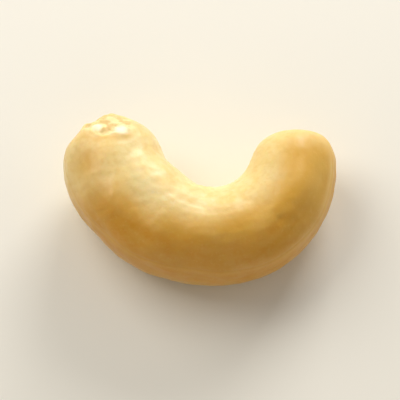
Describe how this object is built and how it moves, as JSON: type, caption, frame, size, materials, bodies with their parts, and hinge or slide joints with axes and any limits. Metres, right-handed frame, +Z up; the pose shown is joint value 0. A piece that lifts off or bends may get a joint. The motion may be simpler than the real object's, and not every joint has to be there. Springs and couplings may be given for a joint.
{
  "type": "shelled cashew kernel",
  "caption": "Shelled cashew kernel: a smooth curled seed with a scarred blunt root end and a fine seam along its back, lying on its side.",
  "frame": {"origin": "on the table, under the middle of the kernel's bounding box", "axes": "+X from the blunt root end to the narrow end, +Y out of the hollow of the curl, +Z up from the flat side it lies on"},
  "size_m": [0.026, 0.0162, 0.0103],
  "materials": {
    "seed_flesh": "satin"
  },
  "bodies": {
    "root": {"kernel": "seed_flesh"}
  },
  "joints": []
}
